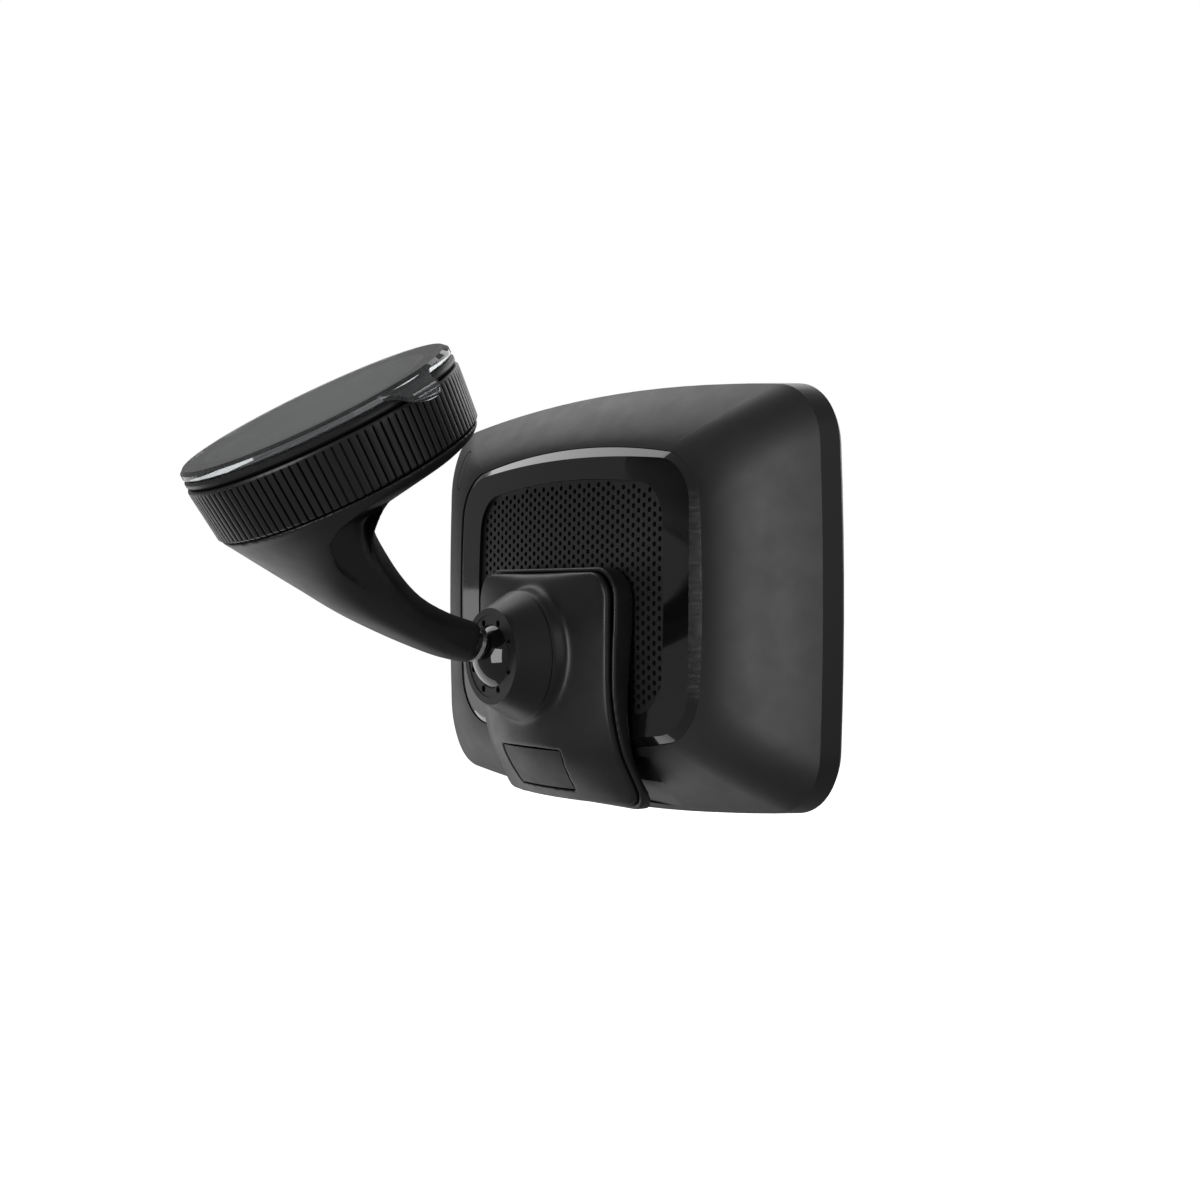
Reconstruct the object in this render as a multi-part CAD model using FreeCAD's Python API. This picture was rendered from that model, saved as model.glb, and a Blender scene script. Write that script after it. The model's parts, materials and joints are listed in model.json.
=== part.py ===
import FreeCAD, Part

import math
import os

# Portable car satellite navigator in its dock, on a windscreen suction mount. Millimetres.
#
# Two working frames are used, and both are moved into the row frame when a part is written:
#   unit frame  origin on the grille's centre, X along the unit, +Y out of its back, +Z up
#   cup frame   origin on the suction face's centre, +Z out of the face towards the windscreen
# The row frame has its origin on the suction face's centre, +Z up and +Y towards the windscreen.

V = FreeCAD.Vector
X, Y, Z = V(1, 0, 0), V(0, 1, 0), V(0, 0, 1)
ORIGIN = V(0, 0, 0)

# ---------------------------------------------------------------- driving dimensions
GLASS_TILT = 60.31            # suction axis above the horizontal, degrees
FACE = V(0, 61.26, 39.16)     # centre of the suction face, unit frame

UNIT_HALF_WIDTH = 70.8
UNIT_TOP = 47.1
UNIT_BOTTOM = -46.4
UNIT_BOW_TOP = 478.0          # radius of the long edges' bow
UNIT_BOW_SIDE = 600.0
UNIT_CORNER = 13.0
CREASE_Y = -12.6              # where the back shell meets the front bezel
FRONT_Y = -18.4
BACK_RADIUS = 880.0           # gentle crown of the back
WALL = 1.8                    # moulded wall of the unit

RING_HALF_WIDTH = 47.3
RING_TOP = 33.7
RING_BOTTOM = -32.6
RING_CORNER = 12.5
RING_RISE = 0.9               # gloss surround above the back
BEVEL_SIDE = 4.6              # run of the surround's bevel at its ends and along its long edges
BEVEL_TOP = 2.6
GRILLE_HALF_WIDTH = 36.3
GRILLE_TOP = 26.6
GRILLE_BOTTOM = -25.6
GRILLE_CORNER = 9.0
TRIM_BOW = 225.0              # bow of the surround's and grille's edges

BALL = V(0, 14.1, -12.2)      # centre of the ball joint
BALL_RADIUS = 8.5
NECK_RADIUS = 3.0
NECK_ANGLE = 16.8             # neck above the socket's axis
JOINT_GAP = 0.1               # running clearance between the ball joint's shells
LINER = 0.5                   # friction liner thickness
SOCKET_FACE = 19.4            # Y of the boss's flat face
MOUTH_FACE_RADIUS = 10.5
SEAM_Y = 12.8                 # joint between the dock cover and the socket collar
SEAM_RADIUS = 14.2
BOSS_BASE_RADIUS = 14.9
BOSS_FOOT_RADIUS = 15.6
BOSS_FOOT_Y = 9.3

DOCK_HALF_WIDTH = 26.2
DOCK_TOP = 7.0
DOCK_BOTTOM = -44.8
DOCK_WALL = 1.6               # tray wall
DOCK_SEAM = 0.95              # seam's distance inside the outline
DOCK_FLOOR = 2.6              # Y of the dock floor's inner face
COVER_WALL = 1.8
PRESS = 1.2                   # release button travel
PANEL_TOP = -32.5
PANEL_BOTTOM = -41.0
PANEL_TOP_HALF = 11.3
PANEL_BOTTOM_HALF = 10.2
GAP = 0.25                    # clearance round small moving parts

PAD_RADIUS = 29.8
PAD_THICKNESS = 2.2
LOCK_TOP_RADIUS = 30.2
LOCK_BOTTOM_RADIUS = 29.2
LOCK_TOP = 4.1                # depths below the suction face
LOCK_BOTTOM = 15.9
LOCK_BORE = 24.6
LOCK_RIBS = 108
BASE_TOP = 16.2
BASE_RADIUS = 28.9
LIFT = 3.0                    # travel of the pad core over a quarter turn of the lock ring
PIN_DEPTH = 9.0
PIN_RADIUS = 1.6
CAM_STEPS = 30                # bores that make up each cam groove

OUT = "parts"
os.makedirs(OUT, exist_ok=True)

TO_ROW = FreeCAD.Placement(FACE * -1, FreeCAD.Rotation())
CUP_TURN = FreeCAD.Placement(ORIGIN, FreeCAD.Rotation(X, GLASS_TILT - 90))


# ---------------------------------------------------------------- helpers
def write(node, shape, placement):
    """Moves a finished sub-part into the row frame and writes it."""
    placed = shape.copy()
    placed.Placement = placement.multiply(placed.Placement)
    placed.exportStep(os.path.join(OUT, node + ".step"))
    print(node, round(placed.Volume, 1), len(placed.Solids), placed.isValid())


def write_unit(node, shape):
    write(node, shape, TO_ROW)


def write_cup(node, shape):
    write(node, shape, CUP_TURN)


def join(shapes):
    first, rest = shapes[0], shapes[1:]
    return first.fuse(rest).removeSplitter() if rest else first


def cylinder(radius, start, axis, length):
    return Part.makeCylinder(radius, length, start, axis)


def tube(outer, inner, start, axis, length):
    return cylinder(outer, start, axis, length).cut(cylinder(inner, start, axis, length))


def cone(radius_start, radius_end, start, axis, length):
    return Part.makeCone(radius_start, radius_end, length, start, axis)


def box(low, high):
    size = high - low
    return Part.makeBox(size.x, size.y, size.z, low)


def tilted_box(half_width, y_span, z_span, pivot, degrees):
    """Box centred on X, drawn about pivot, then turned about X there."""
    low = V(-half_width, y_span[0], z_span[0])
    shape = box(low, V(half_width, y_span[1], z_span[1]))
    shape.rotate(ORIGIN, X, degrees)
    shape.translate(pivot)
    return shape


def bowed_outline(half_width, top, bottom, bow_top, bow_side, corner, y):
    """Closed wire in the plane Y = y: four bowed edges joined by tangent corner arcs."""
    middle = (top + bottom) / 2
    half_height = (top - bottom) / 2
    below = V(0, y, half_height - bow_top)
    beside = V(half_width - bow_side, y, 0)
    span = below.distanceToPoint(beside)
    toward = (beside - below) * (1 / span)
    along = ((bow_top - corner) ** 2 - (bow_side - corner) ** 2 + span ** 2) / (2 * span)
    out = math.sqrt((bow_top - corner) ** 2 - along ** 2)
    centre = below + toward * along + V(-toward.z, 0, toward.x) * out
    if centre.x < 0:
        centre = below + toward * along - V(-toward.z, 0, toward.x) * out
    up, side = (centre - below).normalize(), (centre - beside).normalize()
    on_top, on_side = centre + up * corner, centre + side * corner
    on_corner = centre + (up + side).normalize() * corner

    def arc(first, second, third):
        return Part.Arc(first, second, third).toShape()

    def place(point, side_x, side_z):
        return V(point.x * side_x, y, middle + point.z * side_z)

    def corner_arc(side_x, side_z):
        return arc(*[place(p, side_x, side_z) for p in (on_top, on_corner, on_side)])

    return Part.Wire([
        arc(place(on_top, -1, 1), V(0, y, top), place(on_top, 1, 1)), corner_arc(1, 1),
        arc(place(on_side, 1, 1), V(half_width, y, middle), place(on_side, 1, -1)), corner_arc(1, -1),
        arc(place(on_top, 1, -1), V(0, y, bottom), place(on_top, -1, -1)), corner_arc(-1, -1),
        arc(place(on_side, -1, -1), V(-half_width, y, middle), place(on_side, -1, 1)), corner_arc(-1, 1),
    ])


def unit_outline(y, inset=0.0, corner=UNIT_CORNER):
    return bowed_outline(UNIT_HALF_WIDTH - inset, UNIT_TOP - inset, UNIT_BOTTOM + inset,
                         UNIT_BOW_TOP, UNIT_BOW_SIDE, corner, y)


def ring_outline(y, inset=0.0):
    return bowed_outline(RING_HALF_WIDTH - inset, RING_TOP - inset, RING_BOTTOM + inset,
                         TRIM_BOW, TRIM_BOW, RING_CORNER - inset, y)


def grille_outline(y, inset=0.0):
    return bowed_outline(GRILLE_HALF_WIDTH - inset, GRILLE_TOP - inset, GRILLE_BOTTOM + inset,
                         TRIM_BOW, TRIM_BOW, GRILLE_CORNER, y)


def prism(wire, depth):
    """Solid from a wire, pushed along Y."""
    return Part.Face(wire).extrude(Y * depth)


def side_prism(points, half_width):
    """Solid from a closed polyline of (y, z) points, centred on X."""
    start = -half_width
    corners = [V(start, y, z) for y, z in points]
    face = Part.Face(Part.makePolygon(corners + corners[:1]))
    return face.extrude(X * (half_width - start))


def back_sphere(offset):
    """The back's gentle crown as a sphere, moved out by offset."""
    return Part.makeSphere(BACK_RADIUS + offset, V(0, -BACK_RADIUS, -2))


def coil_spring(radius, wire, pitch, start, axis, length):
    """Closed-wire compression spring standing on start."""
    helix = Part.makeHelix(pitch, length - 2 * wire, radius)
    ring = Part.Wire(Part.Circle(V(radius, 0, 0), Y, wire).toShape())
    spring = Part.Wire(helix.Edges).makePipeShell([ring], True, True)
    spring.translate(V(0, 0, wire))
    spring.Placement = FreeCAD.Placement(start, FreeCAD.Rotation(Z, axis)).multiply(spring.Placement)
    return spring


def screw(start, axis, length, shank, head, head_height):
    """Pan-head screw: head at start, shank along axis, with a cross-shaped drive."""
    body = cylinder(head, start, axis, head_height)
    body = body.fuse(cylinder(shank, start + axis * head_height, axis, length - head_height))
    side = axis.cross(X) if abs(axis.x) < 0.5 else axis.cross(Z)
    other = axis.cross(side)
    for along in (side, other):
        across = axis.cross(along)
        slot = Part.makePolygon([start + along * a + across * b for a, b in
                                 ((-head * 0.6, -0.2), (head * 0.6, -0.2), (head * 0.6, 0.2),
                                  (-head * 0.6, 0.2), (-head * 0.6, -0.2))])
        body = body.cut(Part.Face(slot).extrude(axis * head_height * 0.6))
    return body.removeSplitter()


# ---------------------------------------------------------------- windscreen mount, cup frame
def down(depth, radius=0.0, degrees=0.0):
    """Point at a depth below the suction face, at a radius and a turn from X."""
    turn = math.radians(degrees)
    return V(radius * math.cos(turn), radius * math.sin(turn), -depth)


def turned(profile):
    """Solid of revolution about the suction axis, from (radius, depth) points."""
    points = [V(r, 0, -d) for r, d in profile]
    face = Part.Face(Part.makePolygon(points + points[:1]))
    return face.revolve(ORIGIN, Z, 360)


def radial(degrees):
    turn = math.radians(degrees)
    return V(math.cos(turn), math.sin(turn), 0)


TAB_ANGLE = 191.0             # pull tab's direction
TAB_REACH = 34.6
TAB_DROOP = 30.0              # how far the tab hangs below the face's plane, degrees
CAVITY_DEPTH = 8.0            # room behind the pad for its core
CORE_RADIUS = 22.0
CORE_TOP = PAD_THICKNESS + 0.3
CORE_THICKNESS = 2.0
STEM_RADIUS = 6.0
STEM_END = 12.5
FLOOR_DEPTH = 14.0
SCREW_CIRCLE = 15.0
POCKET_DEPTH = 20.5
POCKET_RADIUS = 7.0


def suction_pad():
    """Clear gel disc: flat face, rounded rim, and a pull tab on one side."""
    disc = turned([(0, 0), (PAD_RADIUS - 0.8, 0), (PAD_RADIUS, 0.7), (PAD_RADIUS, 1.7),
                   (PAD_RADIUS - 0.6, PAD_THICKNESS), (0, PAD_THICKNESS)])
    reach = TAB_REACH - PAD_RADIUS + 1.0
    tip = cylinder(4.4, V(reach - 3.4, 0, 0), Z, 1.0)
    waist = Part.makePolygon([V(-1, -7.4, 0), V(2.2, -4.4, 0), V(2.2, 4.4, 0), V(-1, 7.4, 0), V(-1, -7.4, 0)])
    neck = Part.Face(waist).extrude(Z * 1.0)
    bead = cylinder(0.8, V(reach - 1.2, -3.2, 0.5), Y, 6.4)
    tab = join([tip.cut(box(V(-9, -9, -1), V(-1, 9, 2))), neck, bead])
    tab.rotate(ORIGIN, Y, TAB_DROOP)
    tab.translate(V(PAD_RADIUS - 0.6, 0, -1.7))
    tab.rotate(ORIGIN, Z, TAB_ANGLE)
    return join([disc, tab])


def pad_retaining_ring():
    """Thin rim that clamps the pad's edge onto the base."""
    return turned([(24.4, PAD_THICKNESS), (29.4, PAD_THICKNESS), (29.9, PAD_THICKNESS + 0.5),
                   (29.9, 3.3), (29.4, 3.8), (24.4, 3.8)])


def pad_core():
    """Stiff disc behind the gel pad, dished where the stem joins."""
    return turned([(0, CORE_TOP), (CORE_RADIUS - 0.6, CORE_TOP), (CORE_RADIUS, CORE_TOP + 0.6),
                   (CORE_RADIUS, CORE_TOP + CORE_THICKNESS), (0, CORE_TOP + CORE_THICKNESS)])


def lift_stem():
    """Hollow stem under the core, with three radial cam pins."""
    top = CORE_TOP + CORE_THICKNESS
    stem = turned([(0, top), (STEM_RADIUS, top), (STEM_RADIUS, STEM_END), (3.2, STEM_END),
                   (3.2, STEM_END - 3), (0, STEM_END - 3)])
    pins = [cylinder(PIN_RADIUS, down(PIN_DEPTH, 5.0, a), radial(a), 21.4) for a in (0, 120, 240)]
    return join([stem] + pins)


def suction_base():
    """Drum that carries the pad, with pin channels, a stem bore and three screw holes."""
    drum = turned([(0, PAD_THICKNESS + 0.05), (24.2, PAD_THICKNESS + 0.05), (24.2, BASE_TOP),
                   (0, BASE_TOP)])
    drum = drum.cut(cylinder(CORE_RADIUS + 0.5, down(CAVITY_DEPTH), Z, CAVITY_DEPTH))
    drum = drum.cut(cylinder(STEM_RADIUS + 0.3, down(BASE_TOP), Z, BASE_TOP))
    for angle in (0, 120, 240):
        channel = box(V(0, -2.0, -FLOOR_DEPTH), V(25, 2.0, -PIN_DEPTH + 2.0))
        channel.rotate(ORIGIN, Z, angle)
        drum = drum.cut(channel)
    for angle in (60, 180, 300):
        drum = drum.cut(cylinder(1.35, down(BASE_TOP, SCREW_CIRCLE, angle), Z, BASE_TOP))
        drum = drum.cut(cylinder(2.9, down(13.0, SCREW_CIRCLE, angle), Z, 13.0))
    return drum


def lock_ring():
    """Knurled conical ring with a helical cam groove for each stem pin."""
    body = turned([(LOCK_BORE, LOCK_TOP), (LOCK_TOP_RADIUS - 0.5, LOCK_TOP),
                   (LOCK_TOP_RADIUS, LOCK_TOP + 0.6), (LOCK_BOTTOM_RADIUS, LOCK_BOTTOM - 0.4),
                   (LOCK_BOTTOM_RADIUS - 0.5, LOCK_BOTTOM), (LOCK_BORE, LOCK_BOTTOM)])
    cams = []
    for angle in (0, 120, 240):
        for step in range(CAM_STEPS + 1):
            share = step / CAM_STEPS
            start = down(PIN_DEPTH + LIFT * share, LOCK_BORE - 1, angle - 90 * share)
            cams.append(cylinder(PIN_RADIUS + 0.4, start, radial(angle - 90 * share), 3.4))
    body = body.cut(cams)
    grooves = []
    for rib in range(LOCK_RIBS):
        groove = Part.makePolygon([V(28.5, 0, -LOCK_BOTTOM - 1), V(29.45, 0, -LOCK_TOP - 1.4),
                                   V(31, 0, -LOCK_TOP - 1.0), V(31, 0, -LOCK_BOTTOM - 1),
                                   V(28.5, 0, -LOCK_BOTTOM - 1)])
        tool = Part.Face(groove).extrude(Y * 0.42)
        tool.translate(Y * -0.21)
        tool.rotate(ORIGIN, Z, rib * 360 / LOCK_RIBS)
        grooves.append(tool)
    return body.cut(grooves)


def base_screws():
    screws = [screw(down(10.4, SCREW_CIRCLE, a), Z * -1, 9.0, 1.3, 2.6, 2.6) for a in (60, 180, 300)]
    return Part.makeCompound(screws)


def lift_spring():
    return coil_spring(4.6, 0.45, 2.2, down(POCKET_DEPTH), Z, POCKET_DEPTH - STEM_END)


# ---------------------------------------------------------------- arm and ball stud, unit frame
NECK = V(0, math.cos(math.radians(NECK_ANGLE)), math.sin(math.radians(NECK_ANGLE)))
CUP = V(0, math.cos(math.radians(GLASS_TILT)), math.sin(math.radians(GLASS_TILT)))
ACROSS = V(0, -CUP.z, CUP.y)  # in the base plane, towards the unit


def base_point(depth, reach):
    """Point on X = 0 at a depth below the suction face and a reach towards the unit."""
    return FACE - CUP * depth + ACROSS * reach


def egg(inner, outer, half_width, nose, count=24):
    """Closed smooth section across the arm; nose narrows its inner side."""
    points = []
    for i in range(count):
        turn = 2 * math.pi * i / count
        share = (1 - math.cos(turn)) / 2
        lean = nose + (1 - nose) * math.sin(math.pi / 2 * min(1, share / 0.65))
        points.append(inner + (outer - inner) * share + X * (half_width * lean * math.sin(turn)))
    curve = Part.BSplineCurve()
    curve.interpolate(points, PeriodicFlag=True)
    return Part.Wire(curve.toShape())


ARM_START = 10.9              # arm's end, from the ball's centre
FLARE_RADIUS = BASE_RADIUS - 0.4
# inner side, outer side, half width and nose of the arm's sections, from the base to the ball
ARM_SECTIONS = [
    (base_point(BASE_TOP + 0.35, FLARE_RADIUS), base_point(BASE_TOP + 0.35, -FLARE_RADIUS),
     FLARE_RADIUS, 1.0),
    (base_point(18.6, 18.0), V(0, 75.4, 9.2), 25.5, 0.62),
    (base_point(20.2, 10.5), V(0, 71.2, 6.7), 21.5, 0.4),
    (base_point(22.0, 4.6), V(0, 66.4, 3.8), 17.0, 0.26),
    (base_point(24.2, 1.2), V(0, 62.0, 1.2), 13.4, 0.24),
    (V(0, 47.9, 14.9), V(0, 57.8, -1.3), 11.0, 0.28),
    (V(0, 45.6, 10.8), V(0, 53.0, -3.8), 9.4, 0.32),
    (V(0, 41.7, 5.4), V(0, 47.2, -6.4), 8.0, 0.4),
    (V(0, 36.9, 0.8), V(0, 40.6, -9.1), 6.7, 0.5),
    (V(0, 30.2, -2.6), V(0, 32.4, -12.0), 5.5, 0.7),
    (V(0, 22.2, -5.0), V(0, 24.0, -13.8), 4.7, 1.0),
]
SECTION_STEPS = 3             # sections drawn for each pair of key sections
# each side's scoop, (y, z): along the upper crease to the ball end, back along the lower crease
SCOOP = [(46.0, 25.0), (52.0, 18.5), (54.2, 15.2), (54.4, 13.2), (53.2, 9.6), (50.5, 6.5), (47.2, 3.2),
         (42.9, 0.2), (37.7, -2.5), (32.4, -4.2), (20.0, -7.4), (20.0, -15.0), (28.0, -11.2),
         (35.9, -7.5), (42.9, -4.1), (49.5, -0.6), (56.4, 3.2), (61.0, 6.1), (63.9, 8.6),
         (65.6, 11.2), (65.2, 13.8), (62.6, 16.6), (57.5, 20.5)]
SCOOP_NECK_HALF = 3.4         # half thickness left between the scoops at the ball end
SCOOP_SPREAD = 0.17           # growth of that half thickness per millimetre towards the base
BASE_LIP = 24.5               # the base's dished underside, radius and depth of its edge
BASE_LIP_DEPTH = 19.3
BASE_ROOT_DEPTH = 24.4


def scoop_tool(side):
    """Wedge that carves one flank of the arm, leaving a slanted flat."""
    points = [V(side * (SCOOP_NECK_HALF + SCOOP_SPREAD * (y - 22.0)), y, z) for y, z in SCOOP]
    face = Part.Face(Part.makePolygon(points + points[:1]))
    return face.extrude(X * (side * 40))


def between(before, start, end, after, share):
    """Smooth value a share of the way from start to end, for numbers or points."""
    return (start * 2 + (end - before) * share
            + (before * 2 - start * 5 + end * 4 - after) * share ** 2
            + (start * 3 - before - end * 3 + after) * share ** 3) * 0.5


def arm_wires():
    """Key sections with smooth ones between them."""
    keys = [ARM_SECTIONS[0]] + ARM_SECTIONS + [ARM_SECTIONS[-1]]
    wires = []
    for first in range(len(ARM_SECTIONS) - 1):
        for step in range(SECTION_STEPS):
            share = step / SECTION_STEPS
            wires.append(egg(*[between(*values, share) for values in zip(*keys[first:first + 4])]))
    return wires + [egg(*ARM_SECTIONS[-1])]


def arm():
    """Curved arm that flares into the round base, with a scoop in each flank."""
    trumpet = Part.makeLoft(arm_wires(), True, True)
    dish = turned([(0, BASE_TOP), (BASE_RADIUS, BASE_TOP), (28.4, BASE_TOP + 0.9),
                   (27.2, BASE_TOP + 2.0), (BASE_LIP, BASE_LIP_DEPTH), (3.0, BASE_ROOT_DEPTH),
                   (0, BASE_ROOT_DEPTH)])
    dish = in_unit_frame(dish)
    body = trumpet.cut([scoop_tool(side) for side in (-1, 1)]).fuse(dish)
    body = body.cut(in_unit_frame(cylinder(POCKET_RADIUS, down(POCKET_DEPTH), Z, POCKET_DEPTH)))
    for angle in (60, 180, 300):
        hole = cylinder(1.3, down(19.4, SCREW_CIRCLE, angle), Z, 6)
        body = body.cut(in_unit_frame(hole))
    end_plane = box(V(-20, -20, -20), V(20, 0, 20))
    end_plane.rotate(ORIGIN, X, NECK_ANGLE)
    end_plane.translate(BALL + NECK * ARM_START)
    body = body.cut(end_plane)
    return body.cut(cylinder(2.2, BALL + NECK * (ARM_START - 1), NECK, 13.0))


def in_unit_frame(shape):
    placed = shape.copy()
    placed.Placement = TO_ROW.inverse().multiply(CUP_TURN).multiply(placed.Placement)
    return placed


def ball_stud():
    """Glossy ball on a steel neck, with a knurl-sized shank that is moulded into the arm."""
    sphere = Part.makeSphere(BALL_RADIUS, BALL)
    neck = cylinder(NECK_RADIUS, BALL, NECK, ARM_START)
    shank = cylinder(2.2, BALL + NECK * ARM_START, NECK, 12.0)
    return join([sphere, neck, shank])


def neck_washer():
    """Domed washer between the arm's end and the ball."""
    return tube(3.9, NECK_RADIUS, BALL + NECK * 9.1, NECK, 0.9)


# ---------------------------------------------------------------- ball joint, unit frame
def spherical_band(inner, outer, front_degrees, rear_degrees):
    """Part of a spherical shell, between two angles measured from the socket's axis."""
    shell = Part.makeSphere(outer, BALL).cut(Part.makeSphere(inner, BALL))
    front = BALL.y + outer * math.cos(math.radians(front_degrees))
    rear = BALL.y + outer * math.cos(math.radians(rear_degrees))
    slab = box(V(-20, rear, BALL.z - 20), V(20, front, BALL.z + 20))
    return shell.common(slab)


INNER_LINER = BALL_RADIUS + JOINT_GAP
OUTER_LINER = INNER_LINER + LINER + JOINT_GAP
SOCKET_RADIUS = OUTER_LINER + LINER + JOINT_GAP
SEAT_RADIUS = 12.0
SEAT_TOP = 12.0
RING_SEAT = BALL.y + 3.2      # where the notched ring sits in the collar
MOUTH_BORE = 9.0


def liner_inner():
    return spherical_band(INNER_LINER, INNER_LINER + LINER, 94, 126)


def liner_outer():
    return spherical_band(OUTER_LINER, OUTER_LINER + LINER, 73, 132)


def on_axis(y):
    return V(0, y, BALL.z)


def socket_seat():
    """Cup behind the ball, standing on the dock's floor."""
    seat = cylinder(SEAT_RADIUS, on_axis(DOCK_FLOOR), Y, SEAT_TOP - DOCK_FLOOR)
    return seat.cut(Part.makeSphere(SOCKET_RADIUS, BALL))


def wave_spring():
    """Ring spring that loads the socket onto the ball."""
    return tube(11.8, 10.3, on_axis(SEAT_TOP), Y, SEAM_Y - SEAT_TOP)


def socket_collar():
    """Conical collar whose flat face surrounds the mouth."""
    shoulder = SOCKET_FACE - 0.6
    rim_radius = MOUTH_FACE_RADIUS + 0.4
    collar = cone(SEAM_RADIUS, rim_radius, on_axis(SEAM_Y), Y, shoulder - SEAM_Y)
    collar = collar.fuse(cone(rim_radius, MOUTH_FACE_RADIUS, on_axis(shoulder), Y, 0.6))
    collar = collar.cut(Part.makeSphere(SOCKET_RADIUS, BALL))
    return collar.cut(cylinder(MOUTH_BORE, on_axis(RING_SEAT), Y, 4)).removeSplitter()


def socket_ring():
    """Notched ring that grips the front of the ball."""
    ring = cylinder(MOUTH_BORE, on_axis(RING_SEAT), Y, SOCKET_FACE - 0.15 - RING_SEAT)
    ring = ring.cut(Part.makeSphere(BALL_RADIUS + JOINT_GAP, BALL))
    for i in range(8):
        turn = math.radians(22.5 + 45 * i)
        notch = V(7.7 * math.cos(turn), 15, BALL.z + 7.7 * math.sin(turn))
        ring = ring.cut(cylinder(0.75, notch, Y, 5))
    return ring


# ---------------------------------------------------------------- dock, unit frame
# side profile of the dock's rim and of its back, (y, z) from the top down
RIM = [(6.5, 9.0), (6.5, -13.0), (6.2, -21.6), (5.3, -26.8), (3.5, -32.9), (1.3, -37.2),
       (-0.3, -40.3), (-2.6, -46.5)]
RIM_CHAMFER = 1.0
BACK = [(1.4, 9.0), (1.4, -20.0), (1.2, -27.0), (0.0, -33.0), (-2.2, -38.0), (-4.4, -41.5),
        (-7.4, -46.5)]
# crown of the cover: station z, height over the edge, height on the centre line
CROWN = [(6.2, 6.6, 7.0), (5.0, 6.6, 8.0), (2.5, 6.6, 8.9), (-3.0, 6.6, 9.8), (-12.0, 6.6, 10.5),
         (-20.0, 6.4, 10.9), (-26.0, 5.5, 11.1), (-30.0, 4.4, 10.8), (-33.0, 3.4, 10.2),
         (-36.0, 1.9, 8.9), (-39.0, 0.3, 7.0), (-41.2, -0.7, 5.3), (-44.2, -1.9, 2.6)]


def spline_side(points, to_y):
    """Closed face in the YZ plane between a smooth side profile and the line Y = to_y."""
    curve = Part.BSplineCurve()
    curve.interpolate([V(0, y, z) for y, z in points])
    first, last = points[0], points[-1]
    path = Part.makePolygon([V(0, last[0], last[1]), V(0, to_y, last[1]), V(0, to_y, first[1]),
                             V(0, first[0], first[1])])
    return Part.Face(Part.Wire([curve.toShape()] + path.Edges))


def side_solid(points, to_y, half_width=40.0):
    face = spline_side(points, to_y)
    face.translate(X * -half_width)
    return face.extrude(X * (2 * half_width))


def dock_outline(inset=0.0):
    """Prism of the dock's outline along Y, with large upper and small lower corners."""
    block = box(V(-DOCK_HALF_WIDTH + inset, -12, DOCK_BOTTOM + inset),
                V(DOCK_HALF_WIDTH - inset, 16, DOCK_TOP - inset))
    upper, lower = [], []
    for edge in block.Edges:
        centre = edge.CenterOfMass
        if abs(edge.BoundBox.YLength - 28) < 0.01:
            (upper if centre.z > 0 else lower).append(edge)
    block = block.makeFillet(7.0 - inset, upper)
    lower = [edge for edge in block.Edges if abs(edge.BoundBox.YLength - 28) < 0.01
             and edge.CenterOfMass.z < DOCK_BOTTOM + inset + 0.1
             and abs(edge.CenterOfMass.x) > DOCK_HALF_WIDTH - inset - 0.1]
    return block.makeFillet(4.6 - inset, lower)


def crown_solid(drop, edge_half=25.4, base_drop=1.6):
    """Crowned block under the cover's outer surface, lowered by drop."""
    sections = []
    for z, edge_y, centre_y in CROWN:
        left, right = V(-edge_half, edge_y - drop, z), V(edge_half, edge_y - drop, z)
        arc = Part.Arc(left, V(0, centre_y - drop, z), right).toShape()
        floor = edge_y - base_drop - drop
        lines = Part.makePolygon([right, V(edge_half, floor, z), V(-edge_half, floor, z), left])
        sections.append(Part.Wire([arc] + lines.Edges))
    return Part.makeLoft(sections, True, False)


def panel_prism(grow):
    """Tapered outline of the release panel, along Y."""
    corners = [V(-PANEL_TOP_HALF - grow, -5, PANEL_TOP + grow),
               V(PANEL_TOP_HALF + grow, -5, PANEL_TOP + grow),
               V(PANEL_BOTTOM_HALF + grow, -5, PANEL_BOTTOM - grow),
               V(-PANEL_BOTTOM_HALF - grow, -5, PANEL_BOTTOM - grow)]
    return Part.Face(Part.makePolygon(corners + corners[:1])).extrude(Y * 22)


DOCK_SCREWS = [(-19.5, 0.5), (19.5, 0.5), (-19.5, -30.0), (19.5, -30.0)]
SLOPE = 17.6                  # slant of the latch's run, degrees from vertical
LATCH_PIVOT = V(0, 1.9, -33.0)
INLET_PIVOT = V(-15.0, -5.4, -44.0)
INLET_TILT = -26.0


def floor_block():
    """Everything behind the dock's floor face."""
    flat = side_solid([(DOCK_FLOOR, 9.0), (DOCK_FLOOR, -27.0), (1.6, -33.0), (-0.6, -38.0),
                       (-2.9, -41.5), (-6.0, -46.5)], -20.0)
    return flat


def dock_frame():
    """Tray of the dock: floor against the unit and a wall all round, up to the rim."""
    solid = dock_outline().common(side_solid(RIM, -20.0))
    lowered = side_solid([(y - RIM_CHAMFER, z) for y, z in RIM], -20.0)
    solid = solid.cut(dock_outline().cut(lowered).cut(dock_outline(DOCK_SEAM)))
    solid = solid.cut(side_solid(BACK, -20.0))
    rim_step = side_solid([(y - 1.8, z) for y, z in RIM], -20.0)
    mouth = dock_outline(DOCK_SEAM).cut(rim_step)
    hollow = dock_outline(DOCK_WALL).cut(floor_block())
    tray = solid.cut(hollow).cut(mouth)
    tray = tray.cut(latch_window())
    tray = tray.cut(contact_window())
    tray = tray.cut(inlet_block(0.0))
    for x, z in DOCK_SCREWS:
        tray = tray.cut(cylinder(1.1, V(x, -3, z), Y, 8))
    return tray


def latch_window():
    return tilted_box(5.6, (-6.0, 4.0), (-7.6, -2.8), LATCH_PIVOT, -SLOPE)


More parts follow.
